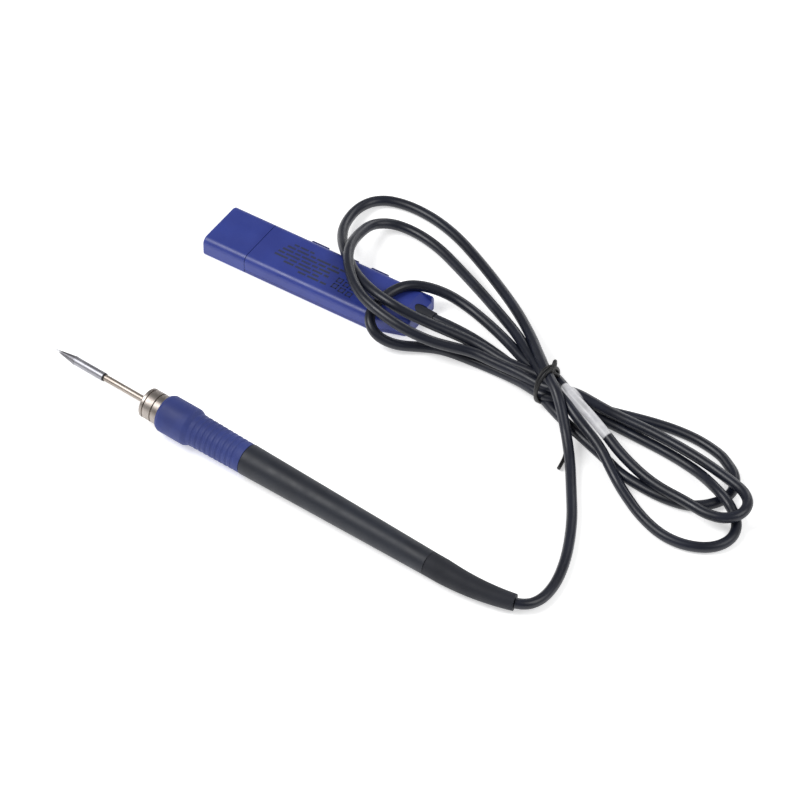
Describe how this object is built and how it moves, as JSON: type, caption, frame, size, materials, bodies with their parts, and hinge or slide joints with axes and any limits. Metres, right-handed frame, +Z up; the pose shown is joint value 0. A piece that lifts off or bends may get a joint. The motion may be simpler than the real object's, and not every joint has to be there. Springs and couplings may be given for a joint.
{
  "type": "soldering iron",
  "caption": "Slim cartridge soldering iron with a ribbed rubber grip, joined by a tied hank of round cord to a flat in-line control stick that ends in a capped plug.",
  "frame": {"origin": "centre of the pen and stick's footprint, on the surface that they lie on", "axes": "+X runs along the control stick from its plug cap to its cord end, +Y points to the stick's button side, +Z is up"},
  "size_m": [0.2714, 0.1715, 0.017],
  "materials": {
    "bit_metal": "satin, bright tinned at the point",
    "sleeve_steel": "satin",
    "shank_steel": "satin, slightly heat-tinted",
    "seal_black": "matte",
    "ceramic": "smooth",
    "contact_brass": "polished",
    "wire_copper": "plain",
    "collar_steel": "satin turned",
    "grip_rubber": "matte",
    "core_plastic": "matte",
    "barrel_plastic": "semi-matte",
    "boot_rubber": "matte",
    "lead_insulation": "matte",
    "crimp_metal": "plain",
    "shell_plastic": "fine satin",
    "cover_plastic": "fine satin",
    "cap_plastic": "fine satin",
    "button_plastic": "fine satin",
    "plug_steel": "bright",
    "tongue_plastic": "matte",
    "board_laminate": "semi-gloss solder mask",
    "chip_black": "matte",
    "inductor_grey": "matte ferrite",
    "switch_metal": "plain",
    "display_black": "glossy",
    "window_clear": "clear, smoked",
    "cord_jacket": "soft satin",
    "tie_plastic": "matte"
  },
  "bodies": {
    "frame": {"front_collar": "collar_steel", "grip_sleeve": "grip_rubber", "grip_core": "core_plastic", "socket_block": "core_plastic", "ground_clip": "contact_brass", "sensor_clip": "contact_brass", "power_clip": "contact_brass", "handle_barrel": "barrel_plastic", "power_lead": "lead_insulation", "sensor_lead": "lead_insulation", "ground_lead": "lead_insulation", "handle_boot": "boot_rubber", "pen_cord_end": "cord_jacket", "pen_crimp": "crimp_metal", "upper_shell": "shell_plastic", "lower_cover": "cover_plastic", "plug_shell": "plug_steel", "plug_tongue": "tongue_plastic", "plug_contacts": "contact_brass", "circuit_board": "board_laminate", "control_chip": "chip_black", "power_inductor": "inductor_grey", "power_transistors": "chip_black", "display_module": "display_black", "display_window": "window_clear", "board_leads": "lead_insulation", "switch_1": "switch_metal", "switch_2": "switch_metal", "switch_3": "switch_metal", "stick_boot": "boot_rubber", "stick_cord_end": "cord_jacket", "stick_crimp": "crimp_metal", "cord_pen_run": "cord_jacket", "cord_hank": "cord_jacket", "twist_tie": "tie_plastic"},
    "cartridge": {"tip_bit": "bit_metal", "tip_sleeve": "sleeve_steel", "heater_core": "ceramic", "shank_seal": "seal_black", "cartridge_shank": "shank_steel", "core_lead": "wire_copper", "front_insulator": "ceramic", "contact_ring": "contact_brass", "rear_insulator": "ceramic", "contact_pin": "contact_brass"},
    "cap": {"plug_cap": "cap_plastic"},
    "key_1": {"button_1": "button_plastic"},
    "key_2": {"button_2": "button_plastic"},
    "key_3": {"button_3": "button_plastic"}
  },
  "joints": [
    {"name": "cartridge_slide", "type": "slide", "parent": "frame", "child": "cartridge", "axis": [-0.9974, 0.0685, 0.0237], "range_m": [0, 0.058]},
    {"name": "cap_slide", "type": "slide", "parent": "frame", "child": "cap", "axis": [-1, 0, 0], "range_m": [0, 0.024]},
    {"name": "button_1_press", "type": "slide", "parent": "frame", "child": "key_1", "axis": [0, -1, 0], "range_m": [0, 0.0003], "stiffness_N_per_m": 3000, "springref_m": -0.0003},
    {"name": "button_2_press", "type": "slide", "parent": "frame", "child": "key_2", "axis": [0, -1, 0], "range_m": [0, 0.0003], "stiffness_N_per_m": 3000, "springref_m": -0.0003},
    {"name": "button_3_press", "type": "slide", "parent": "frame", "child": "key_3", "axis": [0, -1, 0], "range_m": [0, 0.0003], "stiffness_N_per_m": 3000, "springref_m": -0.0003}
  ]
}
